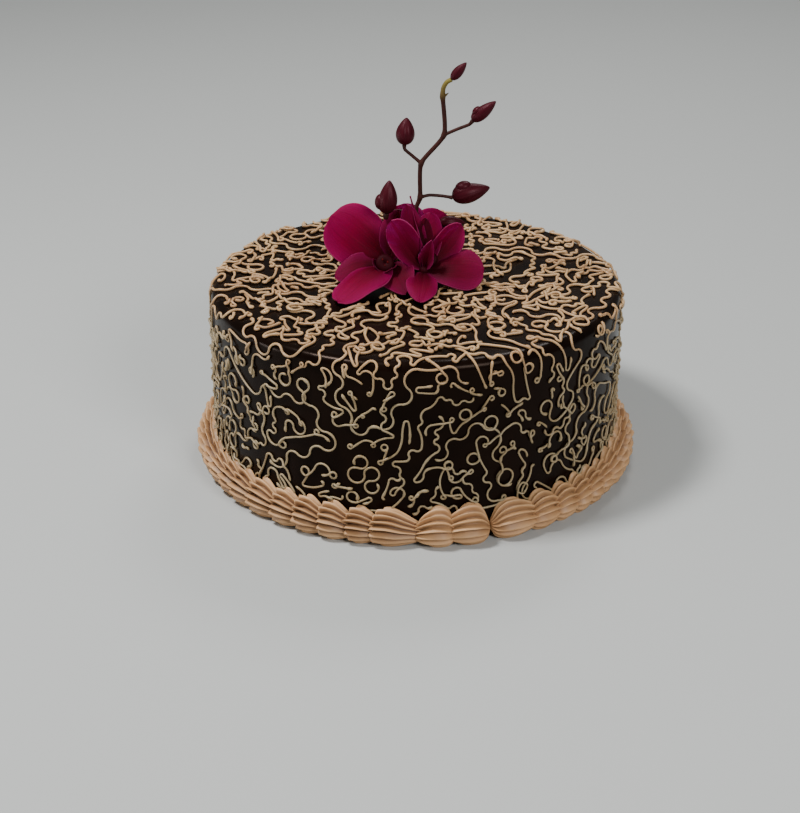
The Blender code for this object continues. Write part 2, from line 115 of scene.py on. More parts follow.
def finish(name, values):
    """A material with its node tree, its links and its shader, set to the values."""
    made = bpy.data.materials.new(name)
    made.use_nodes = True
    tree = made.node_tree
    shader = tree.nodes["Principled BSDF"]
    set_inputs(shader, values)
    return made, tree, tree.links.new, shader


def add_node(tree, kind, values=(), **settings):
    """A node with its settings, and with the values of inputs that nothing is linked to."""
    node = tree.nodes.new(kind)
    for key, value in settings.items():
        setattr(node, key, value)
    set_inputs(node, dict(values))
    return node


def put_out(name, shape, look, slot, *nodes):
    """Makes a piece of a bmesh, smooth, riding on the cake in place of its solids."""
    mesh = bpy.data.meshes.new(name)
    shape.to_mesh(mesh)
    shape.free()
    mesh.shade_smooth()
    mesh.materials.append(look)
    piece = bpy.data.objects.new(name, mesh)
    bpy.context.scene.collection.objects.link(piece)
    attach(piece, "root")
    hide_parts(*nodes)


def glaze_at(place):
    """The point of the glaze nearest to a place, and the way it faces there."""
    reach = math.hypot(place.x, place.y)
    out = Vector((place.x, place.y, 0.0)) / max(reach, 1e-9)
    flat_radius = CAKE_RADIUS - EDGE_ROUND
    rim_height = CAKE_HEIGHT - EDGE_ROUND
    if place.z <= rim_height:
        return out * CAKE_RADIUS + UP * place.z, out
    if reach <= flat_radius:
        return Vector((place.x, place.y, CAKE_HEIGHT)), UP.copy()
    middle = out * flat_radius + UP * rim_height
    facing = (place - middle).normalized()
    return middle + facing * EDGE_ROUND, facing


glaze_finish, tree, link, shader = finish(
    "chocolate glaze",
    {"Specular IOR Level": 0.07, "Specular Tint": (1.0, 0.72, 0.58, 1)},
)
where = add_node(tree, "ShaderNodeTexCoord")
patches = add_node(tree, "ShaderNodeTexNoise", {"Scale": 42.0, "Detail": 5.0})
link(where.outputs["Object"], patches.inputs["Vector"])
cocoa = add_node(tree, "ShaderNodeValToRGB")
cocoa.color_ramp.elements[0].position = 0.3
cocoa.color_ramp.elements[0].color = (0.003, 0.0015, 0.001, 1)
cocoa.color_ramp.elements[1].position = 0.75
cocoa.color_ramp.elements[1].color = (0.008, 0.0035, 0.0022, 1)
link(patches.outputs["Fac"], cocoa.inputs["Fac"])
link(cocoa.outputs["Color"], shader.inputs["Base Color"])
bloom = add_node(tree, "ShaderNodeMapRange", {"To Min": 0.16, "To Max": 0.34})
link(patches.outputs["Fac"], bloom.inputs["Value"])
link(bloom.outputs["Result"], shader.inputs["Roughness"])
ripple = add_node(tree, "ShaderNodeTexNoise", {"Scale": 130.0, "Detail": 3.0})
link(where.outputs["Object"], ripple.inputs["Vector"])
dimple = add_node(tree, "ShaderNodeBump", {"Strength": 0.25, "Distance": 0.0004})
link(ripple.outputs["Fac"], dimple.inputs["Height"])
link(dimple.outputs["Normal"], shader.inputs["Normal"])

glaze_shape = bmesh.new()
outline = [Vector((0.0, 0.0, CAKE_HEIGHT))]
outline += [Vector((reach * MM, 0.0, CAKE_HEIGHT)) for reach in (12, 25, 38, 51, 64, 77, 89)]
for i in range(9):
    turn = math.radians(90.0 - 11.25 * i)
    outline.append(
        Vector((CAKE_RADIUS - EDGE_ROUND, 0.0, CAKE_HEIGHT - EDGE_ROUND))
        + EDGE_ROUND * Vector((math.cos(turn), 0.0, math.sin(turn)))
    )
outline += [Vector((CAKE_RADIUS, 0.0, height * MM)) for height in (76, 63, 50, 37, 24, 12, 0)]
outline.append(Vector((0.0, 0.0, 0.0)))
corners = [glaze_shape.verts.new(place) for place in outline]
sides = [glaze_shape.edges.new(pair) for pair in zip(corners, corners[1:])]
bmesh.ops.spin(
    glaze_shape,
    geom=corners + sides,
    cent=(0, 0, 0),
    axis=(0, 0, 1),
    angle=2 * math.pi,
    steps=144,
    use_merge=True,
)
bmesh.ops.remove_doubles(glaze_shape, verts=glaze_shape.verts, dist=0.01 * MM)
bmesh.ops.recalc_face_normals(glaze_shape, faces=glaze_shape.faces)
for vert in glaze_shape.verts:
    if vert.co.z > 1.0 * MM:
        _, facing = glaze_at(vert.co)
        vert.co -= facing * (0.25 * MM * (1.0 + noise.noise(vert.co * 26.0)))
put_out("chocolate_coat", glaze_shape, glaze_finish, "chocolate_glaze", "cake")


# Piped strings
# Soft tan buttercream is pushed through a small round nozzle that never stops moving.
# It falls in curls, loops and hooks, crosses itself on the top and runs over the rim.
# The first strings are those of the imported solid, and the rest fill in between them.

STRING_STEP = 1.0 * MM
STRING_SPACING = 13.0 * MM
STRING_LENGTH = (90.0 * MM, 220.0 * MM)
SHORTEST_STRING = 28.0 * MM
MOST_CROWDING = 0.9
STRING_SLACK = 0.85 * MM
STRING_POINTS = 800
MOST_STRINGS = 120
STRING_FOOT = 23.5 * MM
LACE_SEED = 8
# Where the flowers lie, as lines kept clear on either side: from, to and how far, in mm.
LOW_PLACES = (
    (-14.0, -12.0, -37.0, -36.0, 12.0),
    (-8.0, -10.0, -4.0, -26.0, 8.0),
    (3.0, -12.0, 4.0, -34.0, 9.0),
    (10.0, -6.0, 26.0, -17.0, 9.0),
    (-14.0, 0.0, -40.0, -10.0, 8.0),
    (0.0, 4.0, 0.0, 22.0, 16.0),
)


def gesture(rng):
    """One move of the piping hand, as arcs of (length, turn in radians)."""
    side = rng.choice((-1, 1))
    kind = rng.random()
    if kind < 0.26:
        return [(rng.uniform(7.0, 14.0) * MM, side * math.radians(rng.uniform(0, 40)))]
    if kind < 0.64:
        turn = math.radians(rng.uniform(60, 160))
        return [(turn * rng.uniform(3.6, 6.8) * MM, side * turn)]
    if kind < 0.84:
        radius = rng.uniform(3.6, 4.8) * MM
        turns = [math.radians(rng.uniform(100, 150)) for _ in range(rng.randint(2, 3))]
        return [(turn * radius, side * (-1) ** i * turn) for i, turn in enumerate(turns)]
    turn = math.radians(rng.uniform(280, 330))
    return [(turn * rng.uniform(3.2, 4.2) * MM, side * turn)]


def small_gesture(rng):
    """A tighter move, for the strings that fill the gaps: run, hook, curl or loop."""
    side = rng.choice((-1, 1))
    kind = rng.random()
    run = (rng.uniform(4.0, 11.0) * MM, side * math.radians(rng.uniform(-50, 50)))
    if kind < 0.2:
        return [run]
    if kind < 0.42:
        turn = math.radians(rng.uniform(70, 175))
        return [(turn * rng.uniform(2.3, 5.0) * MM, side * turn)]
    if kind < 0.58:
        turn = math.radians(rng.uniform(120, 185))
        return [(turn * rng.uniform(0.8, 1.5) * MM, side * turn), run]
    if kind < 0.75:
        radius = rng.uniform(1.3, 2.6) * MM
        turns = [math.radians(rng.uniform(80, 145)) for _ in range(rng.randint(2, 3))]
        return [(turn * radius, side * (-1) ** i * turn) for i, turn in enumerate(turns)]
    if kind < 0.9:
        turn = math.radians(rng.uniform(210, 380))
        return [(turn * rng.uniform(0.75, 1.2) * MM, side * turn), run]
    turn = math.radians(rng.uniform(290, 390))
    return [(turn * rng.uniform(1.5, 3.0) * MM, side * turn), run]


def trace(place, heading, arcs, sharpest=9.0):
    """Follows arcs over the glaze from a place, and returns the points and last heading."""
    points = []
    for length, turn in arcs:
        steps = max(2, round(length / STRING_STEP), round(abs(turn) / sharpest))
        bend = turn / steps
        for _ in range(steps):
            _, facing = glaze_at(place)
            heading = heading * math.cos(bend) + facing.cross(heading) * math.sin(bend)
            place, facing = glaze_at(place + heading * (length / steps))
            heading = (heading - facing * heading.dot(facing)).normalized()
            points.append(place)
    return points, heading


def low_place_cost(points, foot=STRING_FOOT, less=0.0):
    """How far points run below the border's top or into a place kept clear."""
    cost = np.clip(foot - points[:, 2], 0.0, None).sum() / MM
    on_top = points[points[:, 2] > CAKE_HEIGHT - 0.5 * MM]
    for x0, y0, x1, y1, radius in LOW_PLACES:
        start = np.array((x0, y0)) * MM
        way = np.array((x1, y1)) * MM - start
        along = np.clip((on_top[:, :2] - start) @ way / (way @ way), 0.0, 1.0)
        gap = np.linalg.norm(on_top[:, :2] - start - along[:, None] * way, axis=1)
        cost += np.clip((radius - less) * MM - gap, 0.0, None).sum() / MM
    return cost


def crowding(points, laid, spacing=STRING_SPACING):
    """How close points come to the strings that are laid already."""
    if not len(laid):
        return 0.0
    gaps = np.linalg.norm(points[:, None, :] - laid[None, :, :], axis=2)
    reach = 0.5 * spacing
    return float(np.exp(-((gaps / reach) ** 2)).sum(axis=1).mean() * STRING_STEP / reach)


def random_place(rng, foot=STRING_FOOT):
    """A random point of the glaze, above the border."""
    side_area = 2 * CAKE_RADIUS * (CAKE_HEIGHT - foot)
    turn = rng.uniform(0, 2 * math.pi)
    if rng.random() * (side_area + CAKE_RADIUS**2) < side_area:
        reach = CAKE_RADIUS
        height = rng.uniform(foot, CAKE_HEIGHT - EDGE_ROUND)
    else:
        reach = CAKE_RADIUS * math.sqrt(rng.random())
        height = CAKE_HEIGHT
    return glaze_at(Vector((reach * math.cos(turn), reach * math.sin(turn), height)))


def lay_string(rng, laid):
    """One string, from the emptiest of many places until it has run its length."""
    starts = [random_place(rng) for _ in range(90)]
    scores = []
    for place, _ in starts:
        spot = np.array([place])
        scores.append(crowding(spot, laid) + low_place_cost(spot))
    place, facing = starts[scores.index(min(scores))]
    heading = facing.orthogonal().normalized()
    spin = rng.uniform(0, 2 * math.pi)
    heading = heading * math.cos(spin) + facing.cross(heading) * math.sin(spin)
    points = [place]
    length = rng.uniform(*STRING_LENGTH)
    while len(points) * STRING_STEP < length:
        tries = []
        own = np.array(points[:-16]).reshape(-1, 3)
        others = np.concatenate([laid, own])
        for _ in range(9):
            more, turned = trace(points[-1], heading, gesture(rng))
            spots = np.array(more[1::2])
            tries.append((crowding(spots, others) + low_place_cost(spots), more, turned))
        cost, more, heading = min(tries, key=lambda t: t[0])
        if cost > MOST_CROWDING:
            break
        points += more
    return points if len(points) * STRING_STEP > SHORTEST_STRING else []


def straightened(points):
    """The corners that keep a polyline within STRING_SLACK of its points."""
    ends = points[-1] - points[0]
    worst, at = 0.0, None
    for i in range(1, len(points) - 1):
        arm = points[i] - points[0]
        along = 0.0
        if ends.length_squared > 1e-12:
            along = min(1.0, max(0.0, arm.dot(ends) / ends.length_squared))
        gap = (arm - ends * along).length
        if gap > worst:
            worst, at = gap, i
    if worst <= STRING_SLACK:
        return [points[0], points[-1]]
    return straightened(points[: at + 1])[:-1] + straightened(points[at:])


strings = []
rng = random.Random(LACE_SEED)
laid = np.empty((0, 3))
corner_count = 0
for _ in range(MOST_STRINGS):
    if corner_count >= STRING_POINTS:
        break
    points = lay_string(rng, laid)
    if not points:
        continue
    laid = np.concatenate([laid, np.array(points)])
    strings.append(points)
    corner_count += len(straightened(points))

# The filling strings keep about 5 to 6 mm apart, and may run closer to the flowers.
FILL_FOOT = 15.0 * MM
FILL_CLOSER = 7.0
FILL_TOP_SPREAD = 5.2 * MM
FILL_SIDE_SPREAD = 5.7 * MM
MOST_FILLS = 700
FILL_STARTS = 90
FILL_TRIES = 5
FULL_ENOUGH = 0.5
MOST_TOP_CROWDING = 1.35
MOST_SIDE_CROWDING = 1.1
# Strings farther off than this don't count, for a start and for a string under way.
START_SIGHT = 9 * MM
STRING_SIGHT = 24 * MM
SHARPEST = math.radians(32.0)
rng = random.Random(4)
for _ in range(MOST_FILLS):
    starts = [random_place(rng, FILL_FOOT) for _ in range(FILL_STARTS)]
    scores = []
    for place, facing in starts:
        spot = np.array([place])
        near = laid[np.abs(laid - spot).max(axis=1) < START_SIGHT]
        spread = FILL_TOP_SPREAD if facing.z > 0.7 else FILL_SIDE_SPREAD
        scores.append(
            crowding(spot, near, spread) + low_place_cost(spot, FILL_FOOT, FILL_CLOSER)
        )
    if min(scores) > FULL_ENOUGH:
        break
    place, facing = starts[scores.index(min(scores))]
    heading = facing.orthogonal().normalized()
    spin = rng.uniform(0, 2 * math.pi)
    heading = heading * math.cos(spin) + facing.cross(heading) * math.sin(spin)
    points = [place]
    length = rng.uniform(50.0, 240.0)
    while len(points) < length:
        on_top = glaze_at(points[-1])[1].z > 0.7
        spread = FILL_TOP_SPREAD if on_top else FILL_SIDE_SPREAD
        near = laid[np.abs(laid - np.array(points[-1])).max(axis=1) < STRING_SIGHT]
        own = np.array(points[:-9]).reshape(-1, 3)
        others = np.concatenate([near, own])
        tries = []
        for _ in range(FILL_TRIES):
            more, turned = trace(points[-1], heading, small_gesture(rng), SHARPEST)
            spots = np.array(more)
            cost = crowding(spots[1::2], others, spread)
            cost += low_place_cost(spots, FILL_FOOT, FILL_CLOSER)
            tries.append((cost, more, turned))
        cost, more, heading = min(tries, key=lambda t: t[0])
        if cost > (MOST_TOP_CROWDING if on_top else MOST_SIDE_CROWDING):
            break
        points += more
    if len(points) < 6:
        points += trace(points[-1], heading, small_gesture(rng), SHARPEST)[0]
        if low_place_cost(np.array(points), FILL_FOOT, FILL_CLOSER) > 0.0:
            laid = np.concatenate([laid, np.array(points[:1])])
            continue
    laid = np.concatenate([laid, np.array(points)])
    strings.append(points)

# Each string lies on the glaze, and humps over whatever was piped before it. Its radius
# on the side is in millimetres, and it is a little thicker on the top.
SIDE_RADIUS = 0.51
THICKER_ON_TOP = 0.15
HUMP = 1.15 * MM
HUMP_REACH = 1.35 * MM
MOST_LIFT = 2.6 * MM
placed = np.empty((0, 3))
heights = np.empty(0)
laid_strings = []
for points in strings:
    flat = np.array(points)
    facings = np.array([glaze_at(place)[1] for place in points])
    radii = (SIDE_RADIUS + THICKER_ON_TOP * np.clip(facings[:, 2], 0, 1)) * MM
    low, high = flat.min(axis=0) - 3 * MM, flat.max(axis=0) + 3 * MM
    close = ((placed > low) & (placed < high)).all(axis=1)
    lift = np.zeros(len(flat))
    if close.any():
        gaps = np.linalg.norm(flat[:, None, :] - placed[close][None, :, :], axis=2)
        over = (heights[close][None, :] + HUMP) * np.exp(-((gaps / HUMP_REACH) ** 2))
        lift = over.max(axis=1)
    for i in range(12, len(flat)):
        gaps = np.linalg.norm(flat[: i - 8] - flat[i], axis=1)
        k = int(gaps.argmin())
        hump = (lift[k] + HUMP) * math.exp(-((gaps[k] / HUMP_REACH) ** 2))
        lift[i] = max(lift[i], hump)
    lift = np.minimum(lift, MOST_LIFT)
    padded = np.concatenate([lift[:1], lift, lift[-1:]])
    lift = np.maximum(lift, 0.25 * padded[:-2] + 0.5 * lift + 0.25 * padded[2:])
    placed = np.concatenate([placed, flat])
    heights = np.concatenate([heights, lift])
    thick = np.array([noise.noise(Vector(place) * 170.0) for place in flat])
    radii = radii * (1.0 + 0.15 * thick)
    run = np.arange(len(flat))
    for _ in range(len(flat) // 60 + 1):
        pause = rng.uniform(0, len(flat))
        radii = radii * (1.0 + rng.uniform(0.1, 0.5) * np.exp(-(((run - pause) / 1.5) ** 2)))
    ends = np.minimum(run, run[::-1])
    radii = radii * np.where(ends == 0, 0.65, np.where(ends < 3, rng.uniform(1.1, 1.55), 1.0))
    laid_strings.append((flat + facings * (0.68 * radii + lift)[:, None], radii))


def round_curve(name, resolution):
    """A curve that makes a tube. A point's radius on it is in millimetres."""
    curve = bpy.data.curves.new(name, "CURVE")
    curve.dimensions = "3D"
    curve.bevel_depth = 1.0 * MM
    curve.bevel_resolution = resolution
    curve.use_fill_caps = True
    return curve


def tube_shape(curve):
    """The tubes of a curve as a bmesh."""
    guide = bpy.data.objects.new(curve.name + " guide", curve)
    bpy.context.scene.collection.objects.link(guide)
    bpy.context.view_layer.update()
    graph = bpy.context.evaluated_depsgraph_get()
    tube = bpy.data.meshes.new_from_object(guide.evaluated_get(graph))
    shape = bmesh.new()
    shape.from_mesh(tube)
    bmesh.ops.remove_doubles(shape, verts=shape.verts, dist=0.001 * MM)
    bmesh.ops.recalc_face_normals(shape, faces=shape.faces)
    bpy.data.objects.remove(guide, do_unlink=True)
    bpy.data.meshes.remove(tube)
    return shape


def string_piece(name, chosen, look):
    """One mesh of the chosen strings, each a round tube with its own thickness."""
    curve = round_curve(name, 2)
    for path, radii in chosen:
        spline = curve.splines.new("POLY")
        spline.points.add(len(path) - 1)
        places = np.concatenate([path, np.ones((len(path), 1))], axis=1)
        spline.points.foreach_set("co", places.ravel())
        spline.points.foreach_set("radius", radii / MM)
    put_out(name, tube_shape(curve), look, "tan_buttercream", "cake")


# Buttercream has a pale body, a little darker in slow patches, with a fine grain of
# sugar. The strings have a satin skin, and painted shade makes them darker and greyer
# on the side than on the top.
cream_body = bpy.data.node_groups.new("buttercream", "ShaderNodeTree")
for socket, kind in (("Pale", "NodeSocketColor"), ("Deep", "NodeSocketColor")):
    cream_body.interface.new_socket(socket, in_out="INPUT", socket_type=kind)
cream_body.interface.new_socket("Patch Size", in_out="INPUT", socket_type="NodeSocketFloat")
cream_body.interface.new_socket("Color", in_out="OUTPUT", socket_type="NodeSocketColor")
cream_body.interface.new_socket("Roughness", in_out="OUTPUT", socket_type="NodeSocketFloat")
cream_body.interface.new_socket("Normal", in_out="OUTPUT", socket_type="NodeSocketVector")
asked = add_node(cream_body, "NodeGroupInput")
given = add_node(cream_body, "NodeGroupOutput")
cream_where = add_node(cream_body, "ShaderNodeTexCoord")
cream_patch = add_node(cream_body, "ShaderNodeTexNoise", {"Detail": 3.0})
cream_mix = add_node(cream_body, "ShaderNodeMix", data_type="RGBA")
cream_range = add_node(cream_body, "ShaderNodeMapRange", {"From Min": 0.32, "From Max": 0.68})
cream_satin = add_node(cream_body, "ShaderNodeMapRange", {"To Min": 0.32, "To Max": 0.48})
cream_grain = add_node(cream_body, "ShaderNodeTexNoise", {"Scale": 1500.0, "Detail": 2.0})
cream_bump = add_node(cream_body, "ShaderNodeBump", {"Strength": 0.35, "Distance": 0.00015})
for source, target in (
    (cream_where.outputs["Object"], cream_patch.inputs["Vector"]),
    (asked.outputs["Patch Size"], cream_patch.inputs["Scale"]),
    (cream_patch.outputs["Fac"], cream_range.inputs["Value"]),
    (cream_range.outputs["Result"], cream_mix.inputs["Factor"]),
    (asked.outputs["Deep"], cream_mix.inputs["A"]),
    (asked.outputs["Pale"], cream_mix.inputs["B"]),
    (cream_mix.outputs["Result"], given.inputs["Color"]),
    (cream_patch.outputs["Fac"], cream_satin.inputs["Value"]),
    (cream_satin.outputs["Result"], given.inputs["Roughness"]),
    (cream_where.outputs["Object"], cream_grain.inputs["Vector"]),
    (cream_grain.outputs["Fac"], cream_bump.inputs["Height"]),
    (cream_bump.outputs["Normal"], given.inputs["Normal"]),
):
    cream_body.links.new(source, target)

string_finish, tree, link, shader = finish(
    "string buttercream",
    {
        "Subsurface Weight": 0.08,
        "Subsurface Radius": (0.8, 0.45, 0.25),
        "Subsurface Scale": 0.002,
    },
)
where = add_node(tree, "ShaderNodeTexCoord")
split = add_node(tree, "ShaderNodeSeparateXYZ")
link(where.outputs["Object"], split.inputs["Vector"])
# Painted shade: below the top, the strings are mixed to darker and greyer colours.
height = add_node(tree, "ShaderNodeMapRange", {"From Min": 0.078, "From Max": 0.094})
link(split.outputs["Z"], height.inputs["Value"])
pale = add_node(
    tree,
    "ShaderNodeMix",
    {"A": (0.335, 0.262, 0.15, 1), "B": (0.5, 0.315, 0.155, 1)},
    data_type="RGBA",
)
deep = add_node(
    tree,
    "ShaderNodeMix",
    {"A": (0.27, 0.19, 0.095, 1), "B": (0.375, 0.21, 0.098, 1)},
    data_type="RGBA",
)
body = add_node(tree, "ShaderNodeGroup", {"Patch Size": 55.0}, node_tree=cream_body)
link(height.outputs["Result"], pale.inputs["Factor"])
link(height.outputs["Result"], deep.inputs["Factor"])
link(pale.outputs["Result"], body.inputs["Pale"])
link(deep.outputs["Result"], body.inputs["Deep"])
link(body.outputs["Color"], shader.inputs["Base Color"])
link(body.outputs["Roughness"], shader.inputs["Roughness"])
link(body.outputs["Normal"], shader.inputs["Normal"])

groups = {"top": [], "front": [], "back": []}
for path, radii in laid_strings:
    middle = path.mean(axis=0)
    place = "top" if middle[2] > 0.088 else "front" if middle[1] < 0 else "back"
    groups[place].append((path, radii))
for place, chosen in groups.items():
    string_piece("piped_strings_" + place, chosen, string_finish)


# Shell border
# Fifty-two shells are piped round the foot with a star nozzle. Those at the left start
# with a fan of leaves, drawn off to a tail under the next head. The others are rounder
# domes, and most have their heads at the right. Their grooves get painted shade.

# Where the shells seen from the front begin, in degrees to the right of the front.
FRONT_SHELLS = (
    *(-59.0, -52.5, -45.0, -37.0, -29.7, -22.5, -15.3, -7.8, 2.4),
    *(10.2, 19.2, 29.6, 37.5, 44.4, 50.0, 55.8, 61.4),
)
BACK_SHELLS = 36
# Counted from the left: the shells with their heads at the right, and the domes.
TURNED_SHELLS = range(10, 34)
DOME_SHELLS = range(8, 34)
SHELL_REACH = 10.8 * MM
SHELL_HEIGHT = 20.0 * MM
LEAVES = 7
LEAF_ROWS = 10
SHELL_COLUMNS = 24
BASE_ROWS = 6
# How far round the shell its leaves reach, up from level, and where a groove is deepest.
FAN_LOW = -62.0
FAN_TOP = 102.0
DEEPEST = 0.68

border_finish, tree, link, shader = finish(
    "shell buttercream",
    {
        "Roughness": 0.52,
        "Subsurface Weight": 0.04,
        "Subsurface Radius": (0.8, 0.45, 0.25),
        "Subsurface Scale": 0.001,
    },
)
body = add_node(
    tree,
    "ShaderNodeGroup",
    {"Pale": (0.68, 0.405, 0.2, 1), "Deep": (0.53, 0.29, 0.13, 1), "Patch Size": 70.0},
    node_tree=cream_body,
)
# Painted shade: the grooves between the leaves are multiplied down to dark brown.
groove_shade = add_node(tree, "ShaderNodeAttribute", attribute_name="groove_shade")
groove = add_node(
    tree,
    "ShaderNodeMix",
    {"B": (0.17, 0.11, 0.075, 1)},
    data_type="RGBA",
    blend_type="MULTIPLY",
)
link(groove_shade.outputs["Fac"], groove.inputs["Factor"])
link(body.outputs["Color"], groove.inputs["A"])
link(groove.outputs["Result"], shader.inputs["Base Color"])
link(body.outputs["Normal"], shader.inputs["Normal"])


def piped_shell(border, start, width, size, hand, dome, rng):
    """Adds one closed shell: columns run from its head to its tail, rows once around it."""
    fan_rows = LEAVES * LEAF_ROWS
    rows = fan_rows + BASE_ROWS
    shape = bmesh.new()
    groove_shade = shape.verts.layers.float.new("groove_shade")
    bmesh.ops.create_grid(shape, x_segments=SHELL_COLUMNS, y_segments=rows, size=0.5)
    overlap = 0.03 if dome else 0.1
    inner = CAKE_RADIUS + 0.2 * MM
    twist = rng.uniform(-0.02, 0.06)
    depths = [rng.uniform(0.8, 1.15) for _ in range(LEAVES + 1)]
    leans = [rng.uniform(-0.05, 0.08) for _ in range(LEAVES + 1)]
    wobble = Vector((rng.uniform(0, 90), 0.0, 0.0))
    for vert in shape.verts:
        s = (vert.co.x + 0.5) ** 1.5
        row = round((vert.co.y + 0.5) * rows)
        if dome:
            swell = max(math.sqrt(max(0.0, 1.0 - abs(2.0 * s - 0.9) ** 2.4)), 0.3 * (s > 0.5))
        else:
            swell = math.sqrt(1.0 - max(0.0, 1.0 - s / 0.05) ** 2) * (1.04 - 0.82 * s**1.35)
            swell *= 0.86 + 0.14 * math.sin(0.5 * math.pi * min(1.0, s / 0.28))
        if s > 0.999:
            swell = 0.0
        swell *= size
        middle_out = 0.16 * SHELL_REACH
        middle_up = 0.46 * SHELL_HEIGHT * (0.45 + 0.55 * max(swell, 0.5))
        if row <= fan_rows:
            a = row / fan_rows
            leaf, across = row // LEAF_ROWS, (row % LEAF_ROWS) / LEAF_ROWS
            if across < DEEPEST:
                crest, off = (1.0 - across / DEEPEST) ** 1.5, across / DEEPEST
            else:
                crest, off = ((across - DEEPEST) / 0.32) ** 1.3, (1.0 - across) / 0.32
                leaf += 1
            tongue = math.sqrt(max(0.0, 1.0 - off**2))
            head = max(0.0, 1.0 - s / 0.32) ** 1.3
            edge = min(1.0, 6.0 * a, 6.0 * (1.0 - a))
            depth = (0.3 + 0.26 * head) * depths[leaf]
            turned = a + twist * math.sin(math.pi * a) * (0.5 - s)
            fan = math.radians(FAN_LOW + (FAN_TOP - FAN_LOW) * turned)
            groove = 1.0 - depth * (1.0 - crest) * edge
            out = middle_out + (SHELL_REACH - middle_out) * swell * groove * math.cos(fan)
            up = middle_up + 0.54 * SHELL_HEIGHT * swell * groove * math.sin(fan)
            lean = 0.14 * math.sin(math.pi * a) * (1.0 - s)
            lean += (0.34 * (tongue - 0.4) + leans[leaf]) * head * edge
            # Painted shade in the grooves, weaker on the domes.
            vert[groove_shade] = (1.0 - crest) * edge * (0.66 if dome else 1.0)
        else:
            a = (row - fan_rows) / (rows - fan_rows)
            top, low = math.radians(FAN_TOP), math.radians(FAN_LOW)
            spread = (SHELL_REACH - middle_out) * swell
            tall = 0.54 * SHELL_HEIGHT * swell
            top_out = middle_out + spread * math.cos(top)
            low_out = middle_out + spread * math.cos(low)
            out = top_out * (1 - a) + low_out * a
            out -= 2.0 * a * (1.0 - a) * (top_out + low_out)
            up = middle_up + tall * (math.sin(top) * (1 - a) + math.sin(low) * a)
            lean = 0.0
        if swell == 0.0:
            lean = 0.0
        along = (1.0 + 2.0 * overlap) * s - overlap - lean
        turn = start + width * (along if hand > 0 else 1.0 - along)
        reach = inner + max(out, 0.0)
        vert.co = Vector((reach * math.cos(turn), reach * math.sin(turn), max(up, 0.0)))
        if out > 1.0 * MM and up > 1.0 * MM:
            vert.co += 0.25 * MM * noise.noise_vector(vert.co * 150.0 + wobble)
    bmesh.ops.remove_doubles(shape, verts=shape.verts, dist=0.02 * MM)
    bmesh.ops.recalc_face_normals(shape, faces=shape.faces)
    mesh = bpy.data.meshes.new("one shell")
    shape.to_mesh(mesh)
    shape.free()
    border.from_mesh(mesh)
    bpy.data.meshes.remove(mesh)


starts = list(FRONT_SHELLS)
back_width = (360.0 + FRONT_SHELLS[0] - FRONT_SHELLS[-1]) / BACK_SHELLS
starts += [FRONT_SHELLS[-1] + back_width * (i + 1) for i in range(BACK_SHELLS)]
starts = [math.radians(turn - 90.0) for turn in starts]
border_shape = bmesh.new()
rng = random.Random(11)
leaf_rng = random.Random(5)
# Without a seed, noise vectors depend on the time at which Blender was started.
noise.seed_set(1)
for shell, (start, end) in enumerate(zip(starts, starts[1:])):
    size = rng.uniform(0.95, 1.04)
    hand = -1 if shell in TURNED_SHELLS else 1
    dome = shell in DOME_SHELLS
    piped_shell(border_shape, start, end - start, size, hand, dome, leaf_rng)
put_out("piped_shells", border_shape, border_finish, "tan_buttercream", "shell_border")


# Orchids
# Three fresh orchids lie against the stem, each with broad velvety petals and a lip round
# a throat that is dark red with painted shade. The right one also has the tops of two
# more that show behind it.

petal_finish, tree, link, shader = finish(
    "orchid petal",
    {
        "Roughness": 0.6,
        "Specular IOR Level": 0.05,
        "Subsurface Weight": 0.12,
        "Subsurface Radius": (1.0, 0.15, 0.3),
        "Subsurface Scale": 0.0015,
    },
)
where = add_node(tree, "ShaderNodeUVMap", uv_map="petal")
split = add_node(tree, "ShaderNodeSeparateXYZ")
link(where.outputs["UV"], split.inputs["Vector"])
stretch = add_node(tree, "ShaderNodeMapping", {"Scale": (2.2, 26.0, 1.0)})
link(where.outputs["UV"], stretch.inputs["Vector"])
veins = add_node(tree, "ShaderNodeTexNoise", {"Scale": 1.0, "Detail": 4.0})
link(stretch.outputs["Vector"], veins.inputs["Vector"])
along = add_node(tree, "ShaderNodeValToRGB")
along.color_ramp.elements[0].position = 0.0
along.color_ramp.elements[0].color = (0.022, 0.0004, 0.003, 1)
along.color_ramp.elements[1].position = 1.0
along.color_ramp.elements[1].color = (0.21, 0.0008, 0.045, 1)
middle = along.color_ramp.elements.new(0.3)
middle.color = (0.085, 0.0004, 0.01, 1)
middle = along.color_ramp.elements.new(0.62)
middle.color = (0.145, 0.0004, 0.02, 1)
link(split.outputs["X"], along.inputs["Fac"])
vein_mask = add_node(
    tree,
    "ShaderNodeMapRange",
    {"From Min": 0.35, "From Max": 0.7, "To Min": 0.0, "To Max": 0.55},
)
link(veins.outputs["Fac"], vein_mask.inputs["Value"])
veined = add_node(
    tree,
    "ShaderNodeMix",
    {"B": (0.55, 0.4, 0.5, 1)},
    data_type="RGBA",
    blend_type="MULTIPLY",
)
link(vein_mask.outputs["Result"], veined.inputs["Factor"])
link(along.outputs["Color"], veined.inputs["A"])
off_middle = add_node(tree, "ShaderNodeMath", {1: 0.5}, operation="SUBTRACT")
link(split.outputs["Y"], off_middle.inputs[0])
off_middle_size = add_node(tree, "ShaderNodeMath", operation="ABSOLUTE")
link(off_middle.outputs["Value"], off_middle_size.inputs[0])
rim_mask = add_node(
    tree,
    "ShaderNodeMapRange",
    {"From Min": 0.22, "From Max": 0.5, "To Max": 0.8},
)
link(off_middle_size.outputs["Value"], rim_mask.inputs["Value"])
rimmed = add_node(tree, "ShaderNodeMix", {"B": (0.22, 0.001, 0.058, 1)}, data_type="RGBA")
link(rim_mask.outputs["Result"], rimmed.inputs["Factor"])
link(veined.outputs["Result"], rimmed.inputs["A"])
# The shade attribute dims to near-black maroon: partly own colour, partly painted shade.
shade = add_node(tree, "ShaderNodeAttribute", attribute_name="shade")
